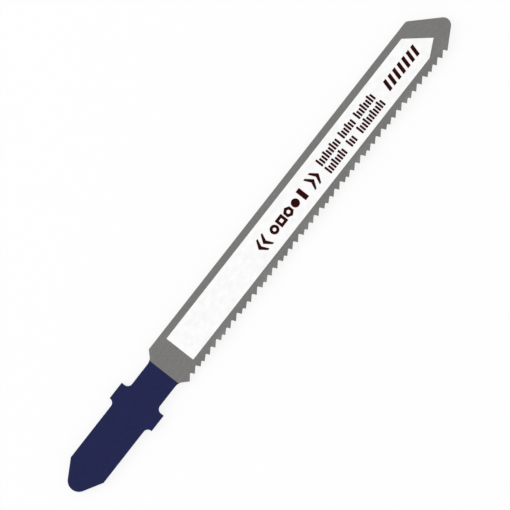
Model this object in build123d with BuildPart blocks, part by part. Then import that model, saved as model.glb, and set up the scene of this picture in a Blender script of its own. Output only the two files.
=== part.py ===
from build123d import *
import os
from math import cos, radians, sin, tan

os.makedirs("parts", exist_ok=True)

# A jigsaw blade with a T-shank, lying flat. +X runs from the shank to the nose, +Y from the teeth to the
# back edge, and +Z comes out of the printed face. The origin is on the shank's axis at mid-thickness,
# level with the faces of the lugs that take the pull of the cut. Sizes are in mm, angles in degrees.

# Strip
strip_thickness = 1.0
blade_width = 7.96      # back edge to the corner of the shoulder at the teeth
shank_reach = 17.45     # lug faces to the end of the shank
nose_reach = 74.55      # lug faces to the tip of the nose

# Shank
tang_width = 6.32
tang_end_angle = 30.0   # each side of the pointed end, from the axis
tang_end_radius = 1.7
tang_corner_radius = 0.3
lug_height = 0.9        # each lug, past the side of the tang
lug_length = 2.92
lug_root_radius = 0.84
neck_width = 5.4
neck_length = 5.33      # lug faces to the shoulders
shoulder_angle = 45.0   # from the axis
shoulder_root_radius = 1.6

# Nose
nose_radius = 1.2
nose_drop = 1.13        # unrounded point, below the axis
nose_back_angle = 45.4  # side that meets the back edge, from the axis
nose_tooth_angle = 30.0 # side that meets the teeth, from the axis
nose_corner_radius = 0.8

# Teeth. The pitch runs through a group of four, and each pitch has its own gullet.
pitch_group = (1.39, 1.43, 1.00, 1.29)
gullet_depth_group = (0.70, 0.75, 0.45, 0.60)  # tips to the unrounded root
gullet_radius = 0.15
tip_inset = 0.1         # tips, in from the corner of the shoulder
cutting_face_angle = 24.0  # lean of the cutting face, its root nearer to the shank

# Wave set. The toothed margin swings to one side and the other, most at the tips.
set_margin = 1.55       # width of the margin that is set, up to the tips
set_offset = 0.2        # swing of the tips to each side
wave_length = 11.5
set_sections = (0, 0.35, 0.7, 1.1)  # shares of the margin, from the flat of the strip to past the tips

# Lacquer on the shank, up to the shoulders, and the white printed field
lacquer_thickness = 0.03
panel_thickness = 0.03
panel_start = 9.57      # lug faces to the start of the field
panel_back_margin = 1.12
panel_nose_margin = 3.64
panel_drop = 0.9        # its point, below the axis
panel_back_angle = 50.0
panel_tooth_angle = 27.0

# Dark marks printed on the field, in a row towards the nose: a pair of chevrons, five shapes like the ends
# of tubes and bars, a second pair, two lines of bars, and slanted bars. Each place is the distance back
# from the point of the field.
ink_thickness = 0.02
marks_axis = 0.15       # middle of the row, from the shank's axis towards the back edge
shank_chevrons_place = 40.8
shapes_place = 34.6
nose_chevrons_place = 28.3
lines_place = 26.0      # to the start of the lines
slants_place = 6.65
chevron_length = 1.2
chevron_height = 2.35
chevron_notch = 0.53
chevron_arm_end = 0.34
chevron_spacing = 1.14
shape_size = 1.5
shape_wall = 0.46
shape_spacing = 1.72
round_bar_size = 1.4
flat_bar_width = 0.82
flat_bar_height = 2.0
line_bars = ((4.6, 3.0, 4.4), (4.4, 1.8, 5.8))  # lengths, line by line
line_height = 0.6
line_gap = 0.8
line_spacing = 1.75
slants_length = 7.85
slant_spacing = 1.12
slant_width = 0.62
slant_height = 1.75
slant_angle = 15.0      # lean to the nose

half_width = blade_width / 2
half_thickness = strip_thickness / 2
lug_side = tang_width / 2 + lug_height


# How far the unrounded point of an end stands past its round, for sides at two angles from the axis
def unrounded_extra(radius, angle_a, angle_b):
    half_sum = radians(angle_a + angle_b) / 2
    half_difference = radians(angle_a - angle_b) / 2
    return radius * (cos(half_difference) / sin(half_sum) - 1)


# Corners of the flat outline
tang_point_x = -shank_reach - unrounded_extra(tang_end_radius, tang_end_angle, tang_end_angle)
tang_shoulder_x = tang_point_x + tang_width / 2 / tan(radians(tang_end_angle))
teeth_start = neck_length + (half_width - neck_width / 2) / tan(radians(shoulder_angle))
nose_point_x = nose_reach + unrounded_extra(nose_radius, nose_back_angle, nose_tooth_angle)
nose_back_x = nose_point_x - (half_width + nose_drop) / tan(radians(nose_back_angle))
nose_teeth_x = nose_point_x - (half_width - nose_drop) / tan(radians(nose_tooth_angle))
tip_y = tip_inset - half_width
set_line_y = tip_y + set_margin

with BuildSketch() as outline:
    with BuildLine():
        shank_side = FilletPolyline(
            (tang_point_x, 0),
            (tang_shoulder_x, tang_width / 2),
            (-lug_length, tang_width / 2),
            (-lug_length, lug_side),
            (0, lug_side),
            (0, neck_width / 2),
            (neck_length, neck_width / 2),
            (teeth_start, half_width),
            radius=(tang_corner_radius, lug_root_radius, 0, 0, lug_root_radius, shoulder_root_radius),
        )
        mirror(shank_side, about=Plane.XZ)
        FilletPolyline(
            (teeth_start, half_width),
            (nose_back_x, half_width),
            (nose_point_x, -nose_drop),
            (nose_teeth_x, -half_width),
            (teeth_start, -half_width),
            radius=(nose_corner_radius, nose_radius, 0),
        )
    make_face()
    fillet(outline.vertices().sort_by(Axis.X)[0], radius=tang_end_radius)

# Tooth tips, and the roots between them. The last tip is past the side of the nose, which trims it.
tip_x = teeth_start
nose_at_tips_x = nose_teeth_x + tip_inset / tan(radians(nose_tooth_angle))
gullet_points = [(tip_x, -half_width)]
gullet_radii = [0]
place = 0
while tip_x < nose_at_tips_x:
    tip_x += pitch_group[place % len(pitch_group)]
    depth = gullet_depth_group[place % len(pitch_group)]
    gullet_points.append((tip_x - depth * tan(radians(cutting_face_angle)), tip_y + depth))
    gullet_points.append((tip_x, tip_y))
    gullet_radii += [gullet_radius, 0]
    place += 1

with BuildSketch() as gullets:
    with BuildLine():
        FilletPolyline(
            *gullet_points,
            (tip_x, -blade_width),
            (teeth_start, -blade_width),
            radius=(*gullet_radii, 0, 0),
            close=True,
        )
    make_face()

# Crests of the wave, in turn down and up. It starts flat at the first tip and runs on past the nose.
crests = [(teeth_start, 0), (teeth_start + wave_length / 4, -set_offset)]
while crests[-1][0] < nose_point_x:
    crests.append((crests[-1][0] + wave_length / 2, -crests[-1][1]))

with BuildPart() as blade:
    # Toothed margin: each stretch from crest to crest sways more and more from the set line to past the tips
    for (start_x, start_sway), (end_x, end_sway) in zip(crests, crests[1:]):
        for share in set_sections:
            with BuildSketch(Plane.XZ.offset(share * set_margin - set_line_y)):
                with BuildLine():
                    start = Vector(start_x, start_sway * share**2)
                    end = Vector(end_x, end_sway * share**2)
                    up = Vector(0, half_thickness)
                    Spline(start + up, end + up, tangents=[(1, 0), (1, 0)])
                    Spline(start - up, end - up, tangents=[(1, 0), (1, 0)])
                    Line(start - up, start + up)
                    Line(end - up, end + up)
                make_face()
        loft()
    with BuildSketch():
        add(outline.sketch)
        add(gullets.sketch, mode=Mode.SUBTRACT)
    extrude(amount=strip_thickness + 2 * set_offset, both=True, mode=Mode.INTERSECT)
    # The rest of the strip is flat
    with BuildSketch():
        add(outline.sketch)
        with Locations((teeth_start, set_line_y)):
            Rectangle(nose_reach, blade_width, align=(Align.MIN, Align.MAX), mode=Mode.SUBTRACT)
    extrude(amount=half_thickness, both=True)

with BuildPart() as shank_lacquer:
    with BuildSketch():
        add(outline.sketch)
        offset(amount=lacquer_thickness)
        split(bisect_by=Plane.YZ.offset(neck_length), keep=Keep.BOTTOM)
    extrude(amount=half_thickness + lacquer_thickness, both=True)
    add(blade.part, mode=Mode.SUBTRACT)

# White field, its pointed end behind the nose
panel_point_x = nose_reach - panel_nose_margin
panel_back_y = half_width - panel_back_margin
with BuildPart() as print_panel:
    with BuildSketch(Plane.XY.offset(half_thickness)):
        with BuildLine():
            Polyline(
                (panel_start, panel_back_y),
                (panel_point_x - (panel_back_y + panel_drop) / tan(radians(panel_back_angle)), panel_back_y),
                (panel_point_x, -panel_drop),
                (panel_point_x + (set_line_y + panel_drop) / tan(radians(panel_tooth_angle)), set_line_y),
                (panel_start, set_line_y),
                close=True,
            )
        make_face()
    extrude(amount=panel_thickness)

marks_plane = Plane.XY.offset(half_thickness + panel_thickness)
half_chevron = chevron_height / 2
slant_shift = slant_height * tan(radians(slant_angle))
slant_count = round(slants_length / slant_spacing)
with BuildPart() as print_marks:
    with BuildSketch(marks_plane):
        # Chevrons, a pair that points to the shank and a pair that points to the nose
        for place, turn in ((shank_chevrons_place, 180), (nose_chevrons_place, 0)):
            with Locations(Location((panel_point_x - place, marks_axis), turn)):
                with GridLocations(chevron_spacing, chevron_height, 2, 1):
                    Polygon(
                        (0, half_chevron),
                        (chevron_arm_end, half_chevron),
                        (chevron_length, 0),
                        (chevron_arm_end, -half_chevron),
                        (0, -half_chevron),
                        (chevron_notch, 0),
                        align=Align.CENTER,
                    )
        # Round, square and hexagonal tube, then round and flat bar, seen from the end
        shape_x = panel_point_x - shapes_place - 2 * shape_spacing
        with Locations((shape_x, marks_axis)):
            Circle(shape_size / 2)
            Circle(shape_size / 2 - shape_wall, mode=Mode.SUBTRACT)
        with Locations((shape_x + shape_spacing, marks_axis)):
            Rectangle(shape_size, shape_size)
            Rectangle(shape_size - 2 * shape_wall, shape_size - 2 * shape_wall, mode=Mode.SUBTRACT)
        with Locations((shape_x + 2 * shape_spacing, marks_axis)):
            RegularPolygon(shape_size / 2, 6, major_radius=False, rotation=30)
            RegularPolygon(
                shape_size / 2 - shape_wall, 6, major_radius=False, rotation=30, mode=Mode.SUBTRACT
            )
        with Locations((shape_x + 3 * shape_spacing, marks_axis)):
            Circle(round_bar_size / 2)
        with Locations((shape_x + 4 * shape_spacing, marks_axis)):
            Rectangle(flat_bar_width, flat_bar_height)
        # Slanted bars
        with Locations((panel_point_x - slants_place, marks_axis)):
            with GridLocations(slant_spacing, slant_height, slant_count, 1):
                Polygon(
                    (0, 0),
                    (slant_width, 0),
                    (slant_width + slant_shift, slant_height),
                    (slant_shift, slant_height),
                    align=Align.CENTER,
                )
    extrude(amount=ink_thickness)

with BuildPart() as print_lines:
    with BuildSketch(marks_plane):
        line_y = marks_axis + line_spacing / 2
        for lengths in line_bars:
            bar_x = panel_point_x - lines_place
            for length in lengths:
                with Locations((bar_x, line_y)):
                    Rectangle(length, line_height, align=(Align.MIN, Align.CENTER))
                bar_x += length + line_gap
            line_y -= line_spacing
    extrude(amount=ink_thickness)

blade.part.label = "blade"
export_step(blade.part, "parts/blade.step")
shank_lacquer.part.label = "shank_lacquer"
export_step(shank_lacquer.part, "parts/shank_lacquer.step")
print_panel.part.label = "print_panel"
export_step(print_panel.part, "parts/print_panel.step")
print_marks.part.label = "print_marks"
export_step(print_marks.part, "parts/print_marks.step")
print_lines.part.label = "print_lines"
export_step(print_lines.part, "parts/print_lines.step")
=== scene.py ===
from math import radians

import bpy
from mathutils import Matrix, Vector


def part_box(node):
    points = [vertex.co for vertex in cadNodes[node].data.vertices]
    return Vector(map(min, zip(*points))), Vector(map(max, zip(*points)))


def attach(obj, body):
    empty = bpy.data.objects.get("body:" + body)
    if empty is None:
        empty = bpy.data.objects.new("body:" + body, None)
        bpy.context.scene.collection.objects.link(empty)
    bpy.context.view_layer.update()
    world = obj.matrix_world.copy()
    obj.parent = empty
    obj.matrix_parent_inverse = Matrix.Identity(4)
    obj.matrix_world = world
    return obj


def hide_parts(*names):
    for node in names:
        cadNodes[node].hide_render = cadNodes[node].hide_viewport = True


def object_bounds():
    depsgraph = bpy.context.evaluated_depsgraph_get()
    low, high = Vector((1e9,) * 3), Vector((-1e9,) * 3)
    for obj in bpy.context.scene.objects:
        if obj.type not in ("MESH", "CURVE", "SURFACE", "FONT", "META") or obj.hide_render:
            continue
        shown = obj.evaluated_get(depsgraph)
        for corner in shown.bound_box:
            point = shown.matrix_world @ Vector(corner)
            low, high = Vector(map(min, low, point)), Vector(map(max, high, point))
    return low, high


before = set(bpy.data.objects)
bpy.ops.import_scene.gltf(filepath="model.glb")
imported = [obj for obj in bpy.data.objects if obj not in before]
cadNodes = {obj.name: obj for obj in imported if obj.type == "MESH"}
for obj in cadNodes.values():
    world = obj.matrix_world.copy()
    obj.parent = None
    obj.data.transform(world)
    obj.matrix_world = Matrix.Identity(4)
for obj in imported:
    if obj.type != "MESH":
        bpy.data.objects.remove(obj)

scene = bpy.context.scene
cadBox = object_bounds()
mm = 0.001
white = (1, 1, 1, 1)
print("frame loaded:", ", ".join(sorted(cadNodes)))

# Camera, straight above the printed face. Places and sizes are in mm.
cameraView = {
    "middle": (27.97, 0.095),     # what lies in the middle of the picture
    "pictureWidth": 77.9,         # from side to side of the picture, at the face
    "faceHeight": 0.5,
    "turn": -51.908,              # degrees, of the picture against the blade
    "lens": 400.0,
    "sensor": 36.0,
    "sight": (50.0, 10000.0),     # the nearest and the furthest that it sees
}

cameraData = bpy.data.cameras.new("photoCamera")
cameraData.sensor_width = cameraView["sensor"]
cameraData.lens = cameraView["lens"]
cameraData.clip_start, cameraData.clip_end = (limit * mm for limit in cameraView["sight"])
camera = bpy.data.objects.new("photoCamera", cameraData)
scene.collection.objects.link(camera)
cameraAway = cameraView["lens"] * cameraView["pictureWidth"] / cameraView["sensor"]
camera.location = (
    cameraView["middle"][0] * mm,
    cameraView["middle"][1] * mm,
    (cameraView["faceHeight"] + cameraAway) * mm,
)
camera.rotation_euler = (0, 0, radians(cameraView["turn"]))
scene.camera = camera
scene.view_settings.view_transform = "Standard"
print("camera placed", round(cameraAway), "mm away")


# Node helpers
def addNode(tree, kind, place, **settings):
    node = tree.nodes.new(kind)
    node.location = place
    for name, value in settings.items():
        setattr(node, name, value)
    return node


# Feeds a socket from another node's output, or else gives it a plain value
def feed(tree, socket, value):
    if hasattr(value, "is_output"):
        tree.links.new(value, socket)
    else:
        socket.default_value = value


def addMath(tree, place, operation, *values):
    node = addNode(tree, "ShaderNodeMath", place, operation=operation)
    for socket, value in zip(node.inputs, values):
        feed(tree, socket, value)
    return node.outputs[0]


# Takes a value that runs through one range into another, and holds it at the ends
def addRange(tree, place, value, before=(0.0, 1.0), after=(0.0, 1.0)):
    node = addNode(tree, "ShaderNodeMapRange", place, clamp=True)
    feed(tree, node.inputs["Value"], value)
    for name, limit in zip(("From Min", "From Max", "To Min", "To Max"), before + after):
        node.inputs[name].default_value = limit
    return node.outputs["Result"]


def mixColour(tree, place, kind, first, second, factor=1.0):
    node = addNode(tree, "ShaderNodeMix", place, data_type="RGBA", blend_type=kind)
    for identifier, value in (("Factor_Float", factor), ("A_Color", first), ("B_Color", second)):
        feed(tree, next(s for s in node.inputs if s.identifier == identifier), value)
    return next(s for s in node.outputs if s.identifier == "Result_Color")


# Mixes two shaders or two backgrounds into the surface of a material or the world
def mixSurface(tree, place, share, first, second, output):
    node = addNode(tree, "ShaderNodeMixShader", place)
    for socket, value in zip(node.inputs, (share, first.outputs[0], second.outputs[0])):
        feed(tree, socket, value)
    feed(tree, output.inputs["Surface"], node.outputs[0])


def newGroup(name, inputs, outputs):
    tree = bpy.data.node_groups.new(name, "ShaderNodeTree")
    for socketName, kind, value in inputs:
        socket = tree.interface.new_socket(name=socketName, in_out="INPUT", socket_type=kind)
        if value is not None:
            socket.default_value = value
    for socketName, kind in outputs:
        tree.interface.new_socket(name=socketName, in_out="OUTPUT", socket_type=kind)
    groupIn = addNode(tree, "NodeGroupInput", (-900, 0))
    groupOut = addNode(tree, "NodeGroupOutput", (700, 0))
    return tree, groupIn, groupOut


def useGroup(tree, group, place, **values):
    node = addNode(tree, "ShaderNodeGroup", place, node_tree=group)
    for name, value in values.items():
        feed(tree, node.inputs[name], value)
    return node


# Group: soft spots or streaks. Shade goes round 1, Height round a half.
spots, spotsIn, spotsOut = newGroup(
    "softSpots",
    [
        ("Vector", "NodeSocketVector", None),
        ("Spread", "NodeSocketVector", (1, 1, 1)),    # spots per mm along each side
        ("Strength", "NodeSocketFloat", 0.1),
        ("Detail", "NodeSocketFloat", 2.0),
    ],
    [("Shade", "NodeSocketFloat"), ("Height", "NodeSocketFloat")],
)
perMetre = addNode(spots, "ShaderNodeVectorMath", (-700, 120), operation="SCALE")
stretched = addNode(spots, "ShaderNodeVectorMath", (-520, 120), operation="MULTIPLY")
cloud = addNode(spots, "ShaderNodeTexNoise", (-340, 120))
feed(spots, perMetre.inputs[0], spotsIn.outputs["Vector"])
feed(spots, perMetre.inputs["Scale"], 1 / mm)
feed(spots, stretched.inputs[0], perMetre.outputs[0])
feed(spots, stretched.inputs[1], spotsIn.outputs["Spread"])
feed(spots, cloud.inputs["Vector"], stretched.outputs[0])
feed(spots, cloud.inputs["Scale"], 1)
feed(spots, cloud.inputs["Detail"], spotsIn.outputs["Detail"])
centred = addMath(spots, (-140, 120), "SUBTRACT", cloud.outputs["Fac"], 0.5)
doubled = addMath(spots, (40, 120), "MULTIPLY", centred, 2)
shaded = addMath(spots, (240, 120), "MULTIPLY_ADD", doubled, spotsIn.outputs["Strength"], 1)
feed(spots, spotsOut.inputs["Shade"], shaded)
feed(spots, spotsOut.inputs["Height"], cloud.outputs["Fac"])

# Group: where an edge is near. Mask is 0 on a flat and 1 on a sharp corner.
edgeFind = {
    "samples": 6,
    "alike": (0.995, 0.8),        # how alike the rounded and the flat normal are as Mask goes from 0 to 1
}

# The steel uses this mask for rubbed wear, and the lacquer uses it for a painted highlight
edges, edgesIn, edgesOut = newGroup(
    "edgeRubAndHighlight",
    [("Reach", "NodeSocketFloat", 0.1)],              # mm
    [("Mask", "NodeSocketFloat")],
)
reachMetres = addMath(edges, (-700, 0), "MULTIPLY", edgesIn.outputs["Reach"], mm)
rounded = addNode(edges, "ShaderNodeBevel", (-520, 0), samples=edgeFind["samples"])
flatNormal = addNode(edges, "ShaderNodeNewGeometry", (-520, -200))
alike = addNode(edges, "ShaderNodeVectorMath", (-320, 0), operation="DOT_PRODUCT")
feed(edges, rounded.inputs["Radius"], reachMetres)
feed(edges, alike.inputs[0], rounded.outputs["Normal"])
feed(edges, alike.inputs[1], flatNormal.outputs["Normal"])
edgeMask = addRange(edges, (-100, 0), alike.outputs["Value"], before=edgeFind["alike"])
feed(edges, edgesOut.inputs["Mask"], edgeMask)
print("node groups made")


# Gives the material, its tree, its shader and the point on the object that its patterns read
def newMaterial(name, roughness, metallic=0.0, specular=0.5):
    material = bpy.data.materials.new(name)
    material.use_nodes = True
    tree = material.node_tree
    shader = tree.nodes["Principled BSDF"]
    shader.location = (500, 0)
    tree.nodes["Material Output"].location = (800, 0)
    shader.inputs["Roughness"].default_value = roughness
    shader.inputs["Metallic"].default_value = metallic
    shader.inputs["Specular IOR Level"].default_value = specular
    coordinates = addNode(tree, "ShaderNodeTexCoord", (-1100, 0))
    return material, tree, shader, coordinates.outputs["Object"]


# A pattern of soft spots. Spread is in spots per mm along the blade, across it and through it.
def addSpots(tree, place, point, spread, detail, strength=0.0):
    return useGroup(tree, spots, place, Vector=point, Spread=spread, Strength=strength, Detail=detail)


def addBump(tree, shader, height, depth):             # depth in mm
    bump = addNode(tree, "ShaderNodeBump", (250, -300))
    feed(tree, bump.inputs["Distance"], depth * mm)
    feed(tree, bump.inputs["Height"], height)
    feed(tree, shader.inputs["Normal"], bump.outputs["Normal"])


# Blasted steel of the blade, with faint rolling streaks, brighter where it is milled or rubbed
steelLook = {
    "colour": (0.187, 0.185, 0.180, 1),
    "milled": (0.23, 0.226, 0.219, 1),
    "rubbed": (0.30, 0.295, 0.286, 1),
    "roughness": 0.42,
    "roughnessSwing": 0.08,
    "grain": {"spread": (5.0, 5.0, 5.0), "strength": 0.22, "detail": 3.0},
    "grainDepth": 0.004,
    "streaks": {"spread": (0.12, 3.5, 3.5), "strength": 0.08, "detail": 4.0},
    "clouds": {"spread": (0.12, 0.2, 0.2), "strength": 0.05, "detail": 1.0},
    "cutLines": {"spread": (4.0, 4.0, 0.15), "strength": 0.3, "detail": 3.0},    # on the milled walls
    "wallSlope": (0.7, 0.3),      # how far a normal points up or down as a face turns into a wall
    "edgeReach": 0.05,
}

steel, steelTree, steelShader, steelPoint = newMaterial(
    "blastedSteel", steelLook["roughness"], metallic=1.0)
grain = addSpots(steelTree, (-850, 300), steelPoint, **steelLook["grain"])
streaks = addSpots(steelTree, (-850, 60), steelPoint, **steelLook["streaks"])
clouds = addSpots(steelTree, (-850, -180), steelPoint, **steelLook["clouds"])
cutLines = addSpots(steelTree, (-850, 540), steelPoint, **steelLook["cutLines"])

# The walls of the outline and the teeth are milled: their normals lie flat
steelNormal = addNode(steelTree, "ShaderNodeNewGeometry", (-1100, -420))
normalParts = addNode(steelTree, "ShaderNodeSeparateXYZ", (-900, -420))
feed(steelTree, normalParts.inputs[0], steelNormal.outputs["True Normal"])
upness = addMath(steelTree, (-720, -420), "ABSOLUTE", normalParts.outputs["Z"])
wallMask = addRange(steelTree, (-540, -420), upness, before=steelLook["wallSlope"])
rubMask = useGroup(steelTree, edges, (-540, -650), Reach=steelLook["edgeReach"]).outputs["Mask"]

# Grain and clouds lie all over, streaks on the faces and cut lines on the walls
runs = mixColour(steelTree, (-620, 400), "MIX", streaks.outputs["Shade"], cutLines.outputs["Shade"],
                 wallMask)
twoShades = addMath(steelTree, (-420, 300), "MULTIPLY", grain.outputs["Shade"], runs)
allShades = addMath(steelTree, (-250, 400), "MULTIPLY", twoShades, clouds.outputs["Shade"])
milledColour = mixColour(steelTree, (-300, 200), "MIX", steelLook["colour"], steelLook["milled"],
                         wallMask)
rubbedColour = mixColour(steelTree, (-80, 200), "MIX", milledColour, steelLook["rubbed"], rubMask)
steelColour = mixColour(steelTree, (180, 200), "MULTIPLY", rubbedColour, allShades)
steelRoughness = addRange(steelTree, (180, -60), grain.outputs["Height"], after=(
    steelLook["roughness"] - steelLook["roughnessSwing"],
    steelLook["roughness"] + steelLook["roughnessSwing"],
))
feed(steelTree, steelShader.inputs["Base Color"], steelColour)
feed(steelTree, steelShader.inputs["Roughness"], steelRoughness)
addBump(steelTree, steelShader, grain.outputs["Height"], steelLook["grainDepth"])

# Dark blue lacquer of the shank: a sprayed film, with a painted highlight that makes it paler along the
# edges
lacquerLook = {
    "colour": (0.0086, 0.0118, 0.0650, 1),
    # the next colour is a painted highlight, laid along the edges
    "paintedHighlight": (0.030, 0.038, 0.105, 1),
    "roughness": 0.38,
    "specular": 0.14,
    "speckle": {"spread": (3.0, 3.0, 3.0), "strength": 0.28, "detail": 3.0},
    "peel": {"spread": (1.4, 1.4, 1.4), "detail": 1.0},
    "peelDepth": 0.006,
    "edgeReach": 0.14,
}

lacquer, lacquerTree, lacquerShader, lacquerPoint = newMaterial(
    "blueLacquer", lacquerLook["roughness"], specular=lacquerLook["specular"])
speckle = addSpots(lacquerTree, (-850, 200), lacquerPoint, **lacquerLook["speckle"])
peel = addSpots(lacquerTree, (-850, -100), lacquerPoint, **lacquerLook["peel"])
# Painted highlight: the lacquer colour turns paler near the edges, where light would catch them
highlightMask = useGroup(lacquerTree, edges, (-600, -350), Reach=lacquerLook["edgeReach"]).outputs["Mask"]
highlightedColour = mixColour(lacquerTree, (-300, 200), "MIX", lacquerLook["colour"], lacquerLook["paintedHighlight"],
                       highlightMask)
lacquerColour = mixColour(lacquerTree, (0, 200), "MULTIPLY", highlightedColour, speckle.outputs["Shade"])
feed(lacquerTree, lacquerShader.inputs["Base Color"], lacquerColour)
addBump(lacquerTree, lacquerShader, peel.outputs["Height"], lacquerLook["peelDepth"])


# Printing inks: a matte film with a slightly uneven cover
def makeInk(name, look):
    ink, tree, shader, point = newMaterial(name, look["roughness"], specular=look["specular"])
    cover = addSpots(tree, (-850, 200), point, **look["cover"])
    film = addSpots(tree, (-850, -100), point, **look["film"])
    inkColour = mixColour(tree, (0, 200), "MULTIPLY", look["colour"], cover.outputs["Shade"])
    feed(tree, shader.inputs["Base Color"], inkColour)
    addBump(tree, shader, film.outputs["Height"], look["filmDepth"])
    return ink


whiteInkLook = {
    "colour": (0.94, 0.94, 0.94, 1),
    "roughness": 0.55,
    "specular": 0.3,
    "cover": {"spread": (0.9, 1.3, 1.3), "strength": 0.09, "detail": 2.0},
    "film": {"spread": (4.0, 4.0, 4.0), "detail": 2.0},
    "filmDepth": 0.003,
}
darkInkLook = {
    "colour": (0.0260, 0.0010, 0.0010, 1),
    "roughness": 0.5,
    "specular": 0.05,
    "cover": {"spread": (2.5, 2.5, 2.5), "strength": 0.35, "detail": 2.0},
    "film": {"spread": (4.0, 4.0, 4.0), "detail": 2.0},
    "filmDepth": 0.003,
}
whiteInk = makeInk("whiteInk", whiteInkLook)
darkInk = makeInk("darkInk", darkInkLook)

finishes = {
    "blade": steel,
    "shank_lacquer": lacquer,
    "print_panel": whiteInk,
    "print_marks": darkInk,
    "print_lines": darkInk,
}
for nodeName, finish in finishes.items():
    cadNodes[nodeName].data.materials.clear()
    cadNodes[nodeName].data.materials.append(finish)
print("materials made:", len(set(finishes.values())))

# Two lines of fine print, as upright ticks in groups, where the source has plain bars. Sizes in mm.
finePrint = {
    "groups": ((4.6, 3.0, 4.4), (4.4, 1.8, 5.8)),    # lengths, line by line
    "groupGap": 0.8,
    "barHeight": 0.6,             # of the source's bars
    "tickSpacing": 0.54,
    "tickWidth": 0.35,
    "tickHeight": 1.1,
    "tallHeight": 1.4,
    "tallEvery": 3,               # one tick in three is tall
    "cornerRound": 0.07,
    "cornerSteps": 3,
}


def deselectAll():
    for one in bpy.context.selected_objects:
        one.select_set(False)


# One upright tick with rounded corners and the ink's thickness. Foot is its lower left corner.
def makeTick(name, foot, height, thickness):
    deselectAll()
    width = finePrint["tickWidth"] * mm
    middle = (foot[0] + width / 2, foot[1] + height * mm / 2, foot[2])
    bpy.ops.mesh.primitive_plane_add(size=1, location=middle)
    tick = bpy.context.active_object
    tick.name = name
    tick.scale = (width, height * mm, 1)
    bpy.ops.object.transform_apply(location=True, rotation=True, scale=True)
    bpy.ops.object.mode_set(mode="EDIT")
    bpy.ops.mesh.select_all(action="SELECT")
    bpy.ops.mesh.bevel(offset=finePrint["cornerRound"] * mm, segments=finePrint["cornerSteps"],
                       affect="VERTICES")
    bpy.ops.mesh.select_all(action="SELECT")
    bpy.ops.mesh.extrude_region_move(TRANSFORM_OT_translate={"value": (0, 0, thickness)})
    bpy.ops.mesh.select_all(action="SELECT")
    bpy.ops.mesh.normals_make_consistent(inside=False)
    bpy.ops.object.mode_set(mode="OBJECT")
    return tick


# Repeats one tick along the blade
def repeatTick(tick, count, spacing):
    row = tick.modifiers.new("row", "ARRAY")
    row.count = count
    row.use_relative_offset = False
    row.use_constant_offset = True
    row.constant_offset_displace = (spacing * mm, 0, 0)
    bpy.context.view_layer.objects.active = tick
    bpy.ops.object.modifier_apply(modifier=row.name)


barsLow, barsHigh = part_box("print_lines")
inkThickness = barsHigh.z - barsLow.z
halfBar = finePrint["barHeight"] * mm / 2
lineMiddles = (barsHigh.y - halfBar, barsLow.y + halfBar)
every = finePrint["tallEvery"]
ticks = []
for lineMiddle, groups in zip(lineMiddles, finePrint["groups"]):
    lineFoot = lineMiddle - finePrint["tallHeight"] * mm / 2
    groupStart = barsLow.x
    for length in groups:
        places = round(length / finePrint["tickSpacing"])
        for first in range(min(every, places)):
            height = finePrint["tallHeight"] if first == 0 else finePrint["tickHeight"]
            foot = (groupStart + first * finePrint["tickSpacing"] * mm, lineFoot, barsLow.z)
            tick = makeTick("finePrintTicks", foot, height, inkThickness)
            repeatTick(tick, len(range(first, places, every)), finePrint["tickSpacing"] * every)
            ticks.append(tick)
        groupStart += (length + finePrint["groupGap"]) * mm
deselectAll()
for tick in ticks:
    tick.select_set(True)
bpy.context.view_layer.objects.active = ticks[0]
bpy.ops.object.join()
finePrintTicks = bpy.context.active_object
finePrintTicks.name = "finePrintTicks"
finePrintTicks.data.materials.append(darkInk)
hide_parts("print_lines")
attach(finePrintTicks, "root")
print("fine print made:", len(finePrintTicks.data.polygons), "faces")

# Floor: pale and matte. The camera sees it nearly plain white, with a faint shadow of the blade.
floorLook = {
    "size": 6.0,                  # metres
    "colour": (0.93, 0.93, 0.93, 1),
    "roughness": 0.8,
    "specular": 0.1,
    "spots": {"spread": (0.02, 0.02, 0.02), "strength": 0.01, "detail": 1.0},
    "glow": 0.85,                 # share of plain white that the camera sees in it
}

floorHeight = cadBox[0].z
deselectAll()
bpy.ops.mesh.primitive_plane_add(size=floorLook["size"], location=(0, 0, floorHeight))
floor = bpy.context.active_object
floor.name = "floor"

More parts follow.
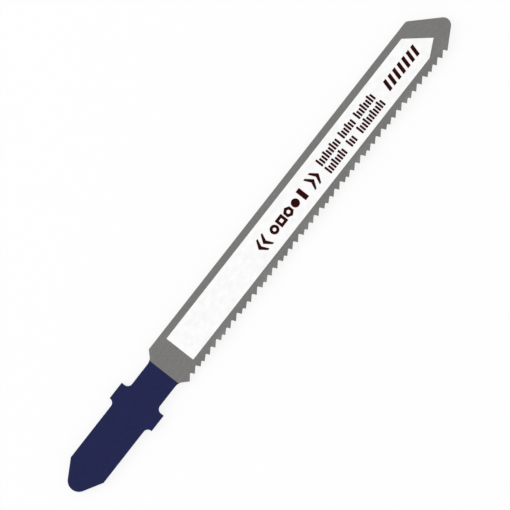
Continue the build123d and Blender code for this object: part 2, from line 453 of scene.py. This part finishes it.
floorPaint, floorTree, floorShader, floorPoint = newMaterial(
    "floorPaint", floorLook["roughness"], specular=floorLook["specular"])
floorSpots = addSpots(floorTree, (-500, 200), floorPoint, **floorLook["spots"])
floorColour = mixColour(floorTree, (-100, 200), "MULTIPLY", floorLook["colour"],
                        floorSpots.outputs["Shade"])
feed(floorTree, floorShader.inputs["Base Color"], floorColour)
floorRays = addNode(floorTree, "ShaderNodeLightPath", (-100, 500))
glowShare = addMath(floorTree, (300, 400), "MULTIPLY", floorRays.outputs["Is Camera Ray"],
                    floorLook["glow"])
floorGlow = addNode(floorTree, "ShaderNodeEmission", (500, 300))
feed(floorTree, floorGlow.inputs["Color"], white)
mixSurface(floorTree, (700, 200), glowShare, floorShader, floorGlow,
           floorTree.nodes["Material Output"])
floor.data.materials.append(floorPaint)
print("floor laid")

# Room: it lights the blade evenly, and is plain white where the camera or a reflection sees it
roomLook = {
    "light": 0.80,
    "seen": 1.0,
}

world = bpy.data.worlds.new("paleRoom")
scene.world = world
world.use_nodes = True
worldTree = world.node_tree
roomLight = worldTree.nodes["Background"]
seenRoom = addNode(worldTree, "ShaderNodeBackground", (0, -200))
for background, strength in ((roomLight, roomLook["light"]), (seenRoom, roomLook["seen"])):
    background.inputs["Color"].default_value = white
    background.inputs["Strength"].default_value = strength
roomRays = addNode(worldTree, "ShaderNodeLightPath", (-500, 300))
cameraOrGlossy = addMath(worldTree, (-300, 300), "MAXIMUM", roomRays.outputs["Is Camera Ray"],
                         roomRays.outputs["Is Glossy Ray"])
seenRays = addMath(worldTree, (-100, 300), "MAXIMUM", cameraOrGlossy,
                   roomRays.outputs["Is Transmission Ray"])
mixSurface(worldTree, (300, 0), seenRays, roomLight, seenRoom, worldTree.nodes["World Output"])

# Lamp: one large soft lamp, aimed at the middle of the picture
lampLook = {
    "place": (-0.45, 0.75, 0.75),    # metres
    "size": 0.7,
    "power": 5.0,
}

lampData = bpy.data.lights.new("softLamp", "AREA")
lampData.shape = "SQUARE"
lampData.size = lampLook["size"]
lampData.energy = lampLook["power"]
lamp = bpy.data.objects.new("softLamp", lampData)
scene.collection.objects.link(lamp)
lamp.location = lampLook["place"]
lampAim = camera.location.copy()
lampAim.z = 0
lamp.rotation_euler = (lampAim - lamp.location).to_track_quat("-Z", "Y").to_euler()
print("room and lamp set")
